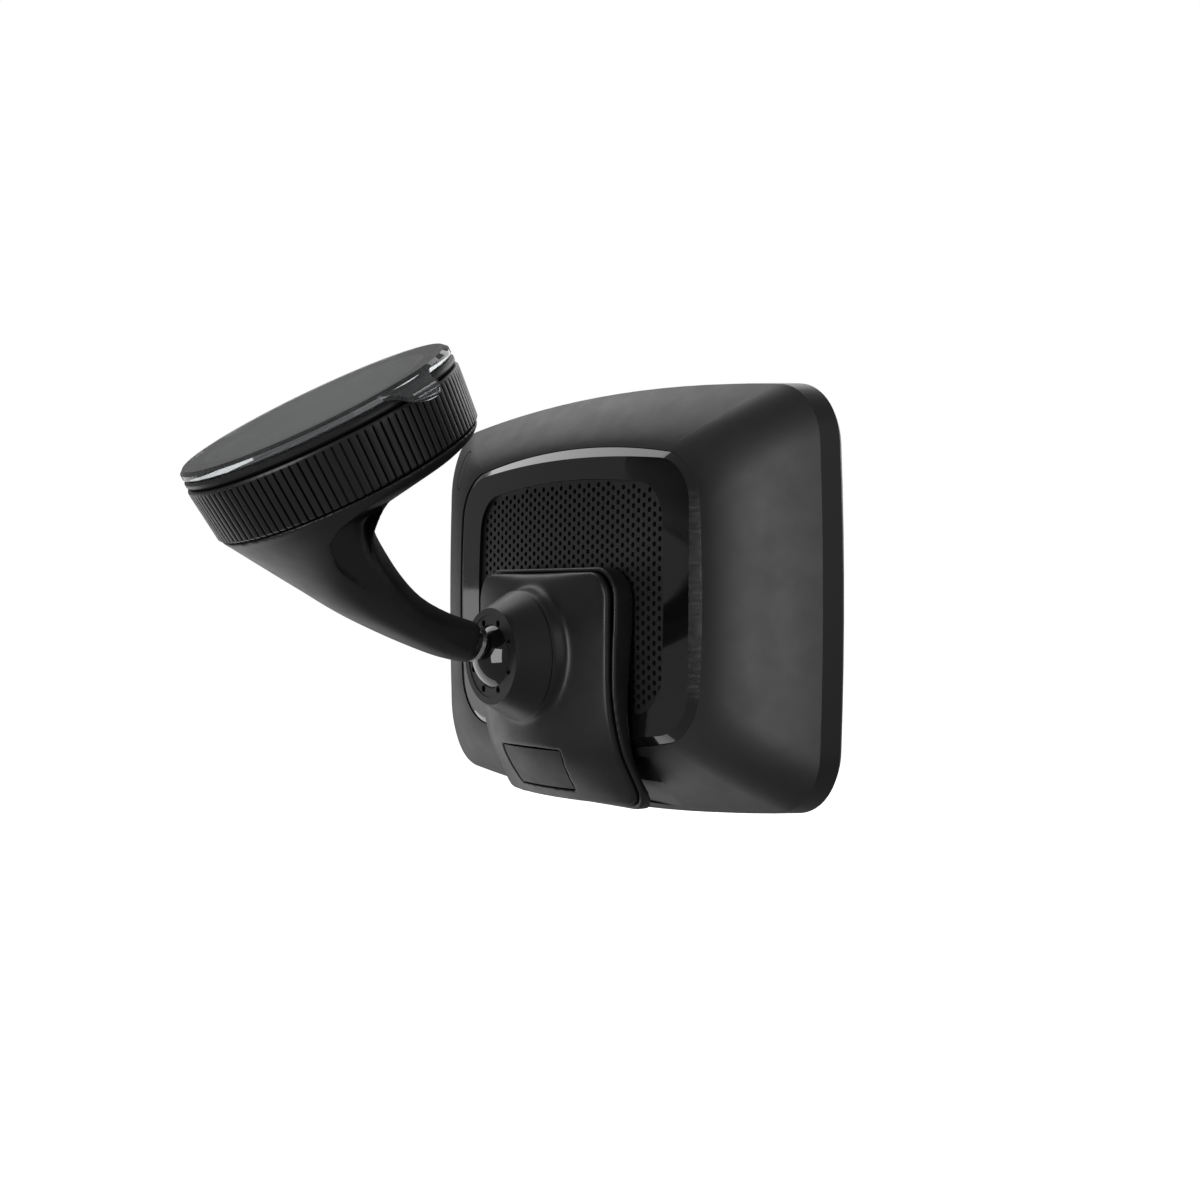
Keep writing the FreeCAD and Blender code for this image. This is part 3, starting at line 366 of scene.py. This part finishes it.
def add_easing(thing, passes, group=""):
    ease = thing.modifiers.new("ease", "SMOOTH")
    ease.factor = EASE
    ease.iterations = passes
    ease.vertex_group = group
    apply_modifiers(thing)


def melted(name, voxel, passes, fillet=None, fillet_passes=0):
    """CAD part as one soft moulding: remeshed finely, then eased so that edges flow together.

    fillet gives each point a share from 0 to 1 of further easing, for a broad blend.
    """
    made = cad_copy(name, name + "_moulded")
    grid = made.modifiers.new("grid", "REMESH")
    grid.mode = "VOXEL"
    grid.voxel_size = voxel * MM
    add_easing(made, passes)
    if fillet:
        group = made.vertex_groups.new(name="fillet")
        for vertex in made.data.vertices:
            share = fillet(vertex.co / MM + FACE)
            if share > 0:
                group.add([vertex.index], share, "REPLACE")
        add_easing(made, fillet_passes, group.name)
    dress(made, SLOT[name])
    for face in made.data.polygons:
        face.use_smooth = True
    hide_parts(name)
    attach(made, frame["nodes"][name]["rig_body"])


def boss_foot(point):
    """Share of extra easing round the foot of the ball socket's boss."""
    if point.y < BOSS_LOW_Y:
        return 0.0
    radius = math.hypot(point.x, point.z - BOSS_Z)
    return max(0.0, 1.0 - abs(radius - BOSS_FOOT) / BOSS_FILLET)


# ---------------------------------------------------------------- lock ring
RIBS = 108
GROOVE_SHARE = 0.26                   # of the rib pitch
GROOVE_FLOOR = 0.8                    # width of the groove's floor, as a share of its mouth
GROOVE_DEPTH = 1.15
RIB_CROWN = 0.03                      # rise of a rib's middle, in two steps
RIB_SHOULDER = 0.08                   # place of the first step, as a share of the pitch
RING_BORE = 24.6
RING_INSET = 0.06                     # keeps the crowned ribs inside the CAD ring
RING_TOP_DEPTH, RING_BOTTOM_DEPTH = 4.1, 15.9
RING_TOP_RADIUS, RING_BOTTOM_RADIUS = 30.2, 29.2
RING_SECTIONS = [                     # depth below the face, radius change, groove depth
    (RING_TOP_DEPTH, -0.5, 0.0), (RING_TOP_DEPTH + 0.1, -0.25, 0.0),
    (RING_TOP_DEPTH + 0.5, 0.0, 0.0), (RING_TOP_DEPTH + 0.7, 0.0, 0.1),
    (RING_TOP_DEPTH + 1.0, 0.0, 0.7), (RING_TOP_DEPTH + 1.8, 0.0, GROOVE_DEPTH),
    (RING_BOTTOM_DEPTH - 0.4, 0.0, GROOVE_DEPTH), (RING_BOTTOM_DEPTH, -0.4, 0.75),
]


def rib_shape():
    """One groove and its rib as (place in the pitch, share of the groove's depth)."""
    half = GROOVE_SHARE / 2
    return [(-half, 0.0), (-half * GROOVE_FLOOR, 1.0), (half * GROOVE_FLOOR, 1.0), (half, 0.0),
            (half + RIB_SHOULDER, -RIB_CROWN), (0.5, -2 * RIB_CROWN),
            (1 - half - RIB_SHOULDER, -RIB_CROWN)]


def knurled_ring():
    """Conical grip ring with deep grooves that run out under its top edge."""
    across = CUP_AXIS.cross(Vector((1, 0, 0)))
    work = bmesh.new()

    def circle(depth, radius, groove):
        points = []
        for rib in range(RIBS):
            for part, sunk in rib_shape():
                turn = 2 * math.pi * (rib + part) / RIBS
                spot = Vector((math.cos(turn), 0, 0)) + across * math.sin(turn)
                reach = radius - sunk * groove
                points.append(work.verts.new((spot * reach - CUP_AXIS * depth) * MM))
        return points

    circles = []
    for depth, drawn, groove in RING_SECTIONS:
        share = (depth - RING_TOP_DEPTH) / (RING_BOTTOM_DEPTH - RING_TOP_DEPTH)
        radius = RING_TOP_RADIUS + (RING_BOTTOM_RADIUS - RING_TOP_RADIUS) * share + drawn
        circles.append(circle(depth, radius - RING_INSET, groove))
    for depth in (RING_BOTTOM_DEPTH, RING_TOP_DEPTH):
        circles.append(circle(depth, RING_BORE, 0.0))
    for upper, lower in zip(circles, circles[1:] + circles[:1]):
        for i in range(len(upper)):
            after = (i + 1) % len(upper)
            work.faces.new([upper[i], upper[after], lower[after], lower[i]])
    bmesh.ops.recalc_face_normals(work, faces=work.faces)
    ring = add_mesh("knurled_grip", work, SLOT["lock_ring"])
    smooth_by_angle(ring, 32)
    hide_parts("lock_ring")
    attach(ring, frame["nodes"]["lock_ring"]["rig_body"])


# ---------------------------------------------------------------- perforated grille
HOLE_PITCH = 2.065
COLUMN_PITCH = HOLE_PITCH * math.sqrt(3) / 2
HOLE_RADIUS = 0.59
HOLE_START = -0.74                    # first hole below the grille's centre
CELL_SIDES = 12
HOLE_MARGIN = 0.3                     # least sheet between a hole and the outline
EDGE_REACH = 0.6                      # cells this far outside, in pitches, still meet the outline
GRILLE_BOW = 225.0                    # radius of the outline's long curves
GRILLE_CORNER = 9.0
GRILLE_SHEET = 0.6
CLOTH_DEPTH = 0.8                     # below the back's crown
CLOTH_INSET = 1.2
CLOTH_THICKNESS = 0.1
CLOTH_RINGS = (1.0, 0.66, 0.33)
GRILLE_WELD = 0.00002                 # metres


def bowed_loop(half_width, top, bottom, bow, corner, count):
    """Points round a bowed rectangle with tangent corner arcs, count to each arc."""
    middle, half_height = (top + bottom) / 2, (top - bottom) / 2
    below = Vector((0, half_height - bow))
    beside = Vector((half_width - bow, 0))
    span = (beside - below).length
    toward = (beside - below) / span
    out = math.sqrt((bow - corner) ** 2 - (span / 2) ** 2)
    centre = (below + beside) / 2 + Vector((-toward.y, toward.x)) * out
    if centre.x < 0:
        centre = (below + beside) / 2 - Vector((-toward.y, toward.x)) * out
    up, side = (centre - below).normalized(), (centre - beside).normalized()
    first = math.atan2(up.y, up.x)
    last = math.atan2(side.y, side.x)
    quarter = []
    for i in range(count):
        turn = math.pi / 2 + (first - math.pi / 2) * i / count
        quarter.append(below + Vector((math.cos(turn), math.sin(turn))) * bow)
    for i in range(count):
        turn = first + (last - first) * i / count
        quarter.append(centre + Vector((math.cos(turn), math.sin(turn))) * corner)
    for i in range(count):
        turn = last * (1 - i / count)
        quarter.append(beside + Vector((math.cos(turn), math.sin(turn))) * bow)
    loop = []
    loop += [(p.x, middle + p.y) for p in quarter]
    loop += [(p.x, middle - p.y) for p in reversed(quarter)]
    loop += [(-p.x, middle - p.y) for p in quarter]
    loop += [(-p.x, middle + p.y) for p in reversed(quarter)]
    return [Vector(p) for p in loop]


def nearest_on_loop(loop, point):
    """(distance inside the loop, nearest point on it); the distance is negative outside."""
    best, nearest, inside = 1e9, None, False
    for start, end in zip(loop, loop[1:] + loop[:1]):
        run = end - start
        if run.length_squared > 0:
            share = max(0, min(1, (point - start).dot(run) / run.length_squared))
            spot = start + run * share
            if (point - spot).length < best:
                best, nearest = (point - spot).length, spot
        if (start.y > point.y) != (end.y > point.y):
            if point.x < start.x + (point.y - start.y) / (end.y - start.y) * (end.x - start.x):
                inside = not inside
    return (best if inside else -best), nearest


def grille_loop(inset, corner, count):
    """The CAD grille's outline drawn in by inset."""
    low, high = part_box("speaker_grille")
    return bowed_loop(high.x / MM - inset, high.z / MM + FACE.z - inset,
                      low.z / MM + FACE.z + inset, GRILLE_BOW, corner, count)


def perforated_grille():
    """Curved sheet with a close triangular field of round holes."""
    loop = grille_loop(0.0, GRILLE_CORNER, 36)
    work = bmesh.new()
    columns = int(max(spot.x for spot in loop) / COLUMN_PITCH) + 1
    rows = int(max(spot.y for spot in loop) / HOLE_PITCH) + 2
    turns = [2 * math.pi * i / CELL_SIDES for i in range(CELL_SIDES)]
    reach = [HOLE_PITCH / math.sqrt(3), HOLE_PITCH / 2] * (CELL_SIDES // 2)
    known = {}

    def corner(x, z):
        """The sheet's point at x, z, or the outline's nearest one."""
        key = (round(x, 2), round(z, 2))
        if key not in known:
            spot = Vector((x, z))
            depth, edge = nearest_on_loop(loop, spot)
            if depth < 0:
                spot = edge
            height = back_height(spot.x, spot.y)
            known[key] = work.verts.new(unit_point(spot.x, height, spot.y))
        return known[key]

    for column in range(-columns, columns + 1):
        for row in range(-rows, rows + 1):
            x = column * COLUMN_PITCH
            z = HOLE_START + (row + 0.5 * (column % 2)) * HOLE_PITCH
            depth, _ = nearest_on_loop(loop, Vector((x, z)))
            if depth < -HOLE_PITCH * EDGE_REACH:
                continue
            rim = [corner(x + r * math.cos(t), z + r * math.sin(t)) for t, r in zip(turns, reach)]
            if depth > HOLE_RADIUS + HOLE_MARGIN:
                hole = [corner(x + HOLE_RADIUS * math.cos(t), z + HOLE_RADIUS * math.sin(t))
                        for t in turns]
                for i in range(CELL_SIDES):
                    after = (i + 1) % CELL_SIDES
                    quad = [rim[i], hole[i], hole[after], rim[after]]
                    if len(set(quad)) == 4:
                        work.faces.new(quad)
            else:
                ring = [v for i, v in enumerate(rim) if v not in rim[:i]]
                if len(ring) > 2:
                    work.faces.new(list(reversed(ring)))
    bmesh.ops.remove_doubles(work, verts=work.verts, dist=GRILLE_WELD)
    bmesh.ops.dissolve_degenerate(work, dist=GRILLE_WELD / 2, edges=work.edges)
    bmesh.ops.recalc_face_normals(work, faces=work.faces)
    sheet = add_mesh("perforated_grille", work, "grille_plastic")
    thickness = sheet.modifiers.new("thickness", "SOLIDIFY")
    thickness.thickness = GRILLE_SHEET * MM
    thickness.offset = -1.0 if sheet.data.polygons[0].normal.y > 0 else 1.0
    apply_modifiers(sheet)
    dress(sheet, "grille_plastic")
    smooth_by_angle(sheet, 40)
    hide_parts("speaker_grille")
    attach(sheet, "unit")


def acoustic_cloth():
    """Black cloth stretched just behind the perforated sheet."""
    loop = grille_loop(CLOTH_INSET, GRILLE_CORNER - 1.0, 8)
    work = bmesh.new()
    layers = []
    for share in CLOTH_RINGS:
        spots = [spot * share for spot in loop]
        layers.append([work.verts.new(unit_point(x, back_height(x, z) - CLOTH_DEPTH, z))
                       for x, z in spots])
    for outer, inner in zip(layers, layers[1:]):
        for i in range(len(outer)):
            after = (i + 1) % len(outer)
            if outer[i].co != outer[after].co:
                work.faces.new([outer[i], outer[after], inner[after], inner[i]])
    work.faces.new(layers[-1])
    bmesh.ops.remove_doubles(work, verts=work.verts, dist=GRILLE_WELD / 2)
    cloth = add_mesh("acoustic_cloth", work, "foam")
    thickness = cloth.modifiers.new("thickness", "SOLIDIFY")
    thickness.thickness = CLOTH_THICKNESS * MM
    apply_modifiers(cloth)
    dress(cloth, "foam")
    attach(cloth, "unit")


# ---------------------------------------------------------------- stage
CAMERA_AT = Vector((-307.5, 148.34, -39.16)) * MM
CAMERA_TURN = math.radians(234.49)
LENS, SENSOR = 50.0, 36.0
CLIP_START = 0.01
FLOOR_DROP = 0.17                     # below the object's lowest point
FLOOR_RADIUS = 4.0
WORLD_FILL = 0.20                     # light from all round, against a backdrop of 1
WHITE = (1, 1, 1, 1)
SOFTBOXES = [                         # name, direction, distance, size, watts
    ("key_behind", (-0.25, 1.0, 0.02), 1.3, (0.8, 0.9), 9.0),
    ("top", (0.7, -0.1, 0.75), 1.2, (1.0, 0.9), 4.0),
    ("side", (-1.0, -0.25, 0.35), 1.4, (0.7, 1.3), 2.2),
    ("front", (0.5, -1.0, 0.5), 1.6, (1.2, 1.2), 6.0),
    ("low_strip", (0.8, 0.1, -0.52), 0.38, (0.30, 0.50), 0.4),
]


def camera():
    data = bpy.data.cameras.new("camera")
    data.lens = LENS
    data.sensor_width = SENSOR
    data.clip_start = CLIP_START
    made = bpy.data.objects.new("camera", data)
    made.location = CAMERA_AT
    made.rotation_euler = Euler((math.pi / 2, 0, CAMERA_TURN))
    bpy.context.scene.collection.objects.link(made)
    bpy.context.scene.camera = made


def softbox(name, direction, distance, size, power):
    """Rectangular area light aimed at the object's middle."""
    low, high = CAD_BOX
    middle = (Vector(low) + Vector(high)) / 2
    data = bpy.data.lights.new(name, "AREA")
    data.shape = "RECTANGLE"
    data.size, data.size_y = size
    data.energy = power
    made = bpy.data.objects.new(name, data)
    toward = Vector(direction).normalized()
    made.location = middle + toward * distance
    made.rotation_euler = toward.to_track_quat("Z", "Y").to_euler()
    made.visible_camera = False
    bpy.context.scene.collection.objects.link(made)


def pale_floor():
    low, _ = CAD_BOX
    work = bmesh.new()
    bmesh.ops.create_circle(work, cap_ends=True, segments=96, radius=FLOOR_RADIUS)
    bmesh.ops.translate(work, verts=work.verts, vec=Vector((0, 0, low[2] - FLOOR_DROP)))
    mesh = bpy.data.meshes.new("floor")
    work.to_mesh(mesh)
    work.free()
    floor = bpy.data.objects.new("floor", mesh)
    bpy.context.scene.collection.objects.link(floor)
    material, tree, shader = new_material("pale_floor")
    paper = noise(tree, coordinates(tree), 400.0)
    tree.links.new(tint(tree, paper, (0.86, 0.86, 0.86), (0.9, 0.9, 0.9)),
                   shader.inputs["Base Color"])
    shader.inputs["Roughness"].default_value = 0.9
    shader.inputs["Emission Color"].default_value = WHITE
    shader.inputs["Emission Strength"].default_value = 0.9
    floor.data.materials.append(material)
    floor.visible_glossy = False
    floor.visible_diffuse = False


def white_surroundings():
    """White behind the object, with a weaker even light on it."""
    world = bpy.data.worlds.new("studio")
    world.use_nodes = True
    tree = world.node_tree
    tree.nodes.clear()
    backdrop = node(tree, "ShaderNodeBackground", Color=WHITE, Strength=1.0)
    fill = node(tree, "ShaderNodeBackground", Color=WHITE, Strength=WORLD_FILL)
    path = node(tree, "ShaderNodeLightPath")
    mix = node(tree, "ShaderNodeMixShader")
    out = node(tree, "ShaderNodeOutputWorld")
    tree.links.new(path.outputs["Is Camera Ray"], mix.inputs[0])
    tree.links.new(fill.outputs[0], mix.inputs[1])
    tree.links.new(backdrop.outputs[0], mix.inputs[2])
    tree.links.new(mix.outputs[0], out.inputs["Surface"])
    bpy.context.scene.world = world
    bpy.context.scene.view_settings.view_transform = "Standard"


# ---------------------------------------------------------------- build
camera()
pale_floor()
white_surroundings()
for light in SOFTBOXES:
    softbox(*light)
dress_cad_nodes()
perforated_grille()
acoustic_cloth()
melted("arm", voxel=0.4, passes=14)
melted("dock_cover", voxel=0.32, passes=14, fillet=boss_foot, fillet_passes=90)
melted("dock_frame", voxel=0.4, passes=4)
knurled_ring()
